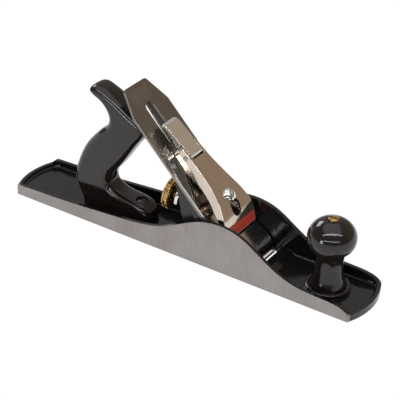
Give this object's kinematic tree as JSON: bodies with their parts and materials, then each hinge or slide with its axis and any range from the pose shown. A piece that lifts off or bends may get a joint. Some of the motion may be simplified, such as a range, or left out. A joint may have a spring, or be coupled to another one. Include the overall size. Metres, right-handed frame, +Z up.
{
  "type": "hand plane",
  "caption": "Iron jack plane with an adjustable frog, cam lever cap, screw depth adjuster, lateral lever, rear tote and front knob.",
  "frame": {"origin": "centre of the sole, on the surface the plane rests on", "axes": "+X to the toe along the sole, +Y to the user's left, +Z up"},
  "size_m": [0.362, 0.061, 0.1349],
  "materials": {
    "body_iron": "ground on the sole and cheeks, gloss black enamel inside",
    "frog_iron": "black enamel with a machined bed",
    "plain_steel": "turned",
    "dark_screw": "blackened",
    "bright_screw": "polished",
    "bright_yoke": "bright plated",
    "lever_steel": "plated",
    "cutter_steel": "satin ground",
    "cap_iron_steel": "polished",
    "lever_cap_nickel": "polished nickel with a red enamel band",
    "cam_lever_nickel": "polished nickel",
    "spring_steel": "blued",
    "brass": "polished",
    "handle_plastic": "gloss"
  },
  "bodies": {
    "plane_body": {"body": "body_iron", "tote": "handle_plastic", "tote_rod": "plain_steel", "tote_nut": "brass", "tote_toe_screw": "dark_screw", "knob": "handle_plastic", "knob_rod": "plain_steel", "knob_nut": "brass", "frog_screws": "plain_steel", "frog_washers": "plain_steel"},
    "frog": {"frog": "frog_iron", "frog_adjusting_plate": "plain_steel", "frog_plate_screw": "plain_steel", "lever_cap_screw": "bright_screw", "adjusting_stud": "plain_steel", "yoke_pin": "plain_steel", "lateral_rivet": "plain_steel"},
    "mouth_screw": {"frog_adjusting_screw": "plain_steel"},
    "adjusting_nut": {"adjusting_nut": "brass"},
    "adjusting_yoke": {"adjusting_yoke": "bright_yoke"},
    "lateral_lever": {"lateral_lever": "lever_steel"},
    "lateral_disc": {"lateral_disc": "plain_steel"},
    "cutter_assembly": {"cutter": "cutter_steel", "cap_iron": "cap_iron_steel", "cap_iron_screw": "plain_steel"},
    "lever_cap": {"lever_cap": "lever_cap_nickel", "lever_cap_spring": "spring_steel", "spring_rivet": "plain_steel", "cam_pin": "plain_steel"},
    "cam_lever": {"cam_lever": "cam_lever_nickel"}
  },
  "joints": [
    {"name": "frog_slide", "type": "slide", "parent": "plane_body", "child": "frog", "axis": [1, 0, 0], "range_m": [0, 0.002]},
    {"name": "mouth_screw_turn", "type": "hinge", "parent": "frog", "child": "mouth_screw", "pos_m": [-0.008, 0, 0.0092], "axis": [1, 0, 0], "range_deg": [-1, 721]},
    {"name": "depth_nut_turn", "type": "hinge", "parent": "frog", "child": "adjusting_nut", "pos_m": [-0.0111, 0, 0.0407], "axis": [0.9925, 0, -0.1219], "range_deg": [-270, 270]},
    {"name": "yoke_pivot", "type": "hinge", "parent": "frog", "child": "adjusting_yoke", "pos_m": [-0.002, 0, 0.052], "axis": [0, 1, 0], "range_deg": [-3.8, 3.8]},
    {"name": "lateral_swing", "type": "hinge", "parent": "frog", "child": "lateral_lever", "pos_m": [-0.00182, 0, 0.0676], "axis": [0.7071, 0, 0.7071], "range_deg": [-4.3, 4.3]},
    {"name": "cutter_skew", "type": "hinge", "parent": "frog", "child": "lateral_disc", "pos_m": [0.02533, 0, 0.04667], "axis": [0.7071, 0, 0.7071], "range_deg": [-1.1, 1.1]},
    {"name": "depth_slide", "type": "slide", "parent": "lateral_disc", "child": "cutter_assembly", "axis": [0.7071, 0, -0.7071], "range_m": [-0.00105, 0.00105]},
    {"name": "lever_cap_slide", "type": "slide", "parent": "frog", "child": "lever_cap", "axis": [-0.7071, 0, 0.7071], "range_m": [0, 0.0128]},
    {"name": "cam_lever_flip", "type": "hinge", "parent": "lever_cap", "child": "cam_lever", "pos_m": [-0.00111, 0, 0.08669], "axis": [0, 1, 0], "range_deg": [0, 90]}
  ],
  "couplings": [
    {"joint": "mouth_screw_turn", "follows": "frog_slide", "rad_per_m": 6283.2},
    {"joint": "yoke_pivot", "follows": "depth_slide", "rad_per_m": 60.767},
    {"joint": "depth_nut_turn", "follows": "depth_slide", "rad_per_m": 4447.7},
    {"joint": "lateral_swing", "follows": "cutter_skew", "ratio": -3.8571}
  ]
}
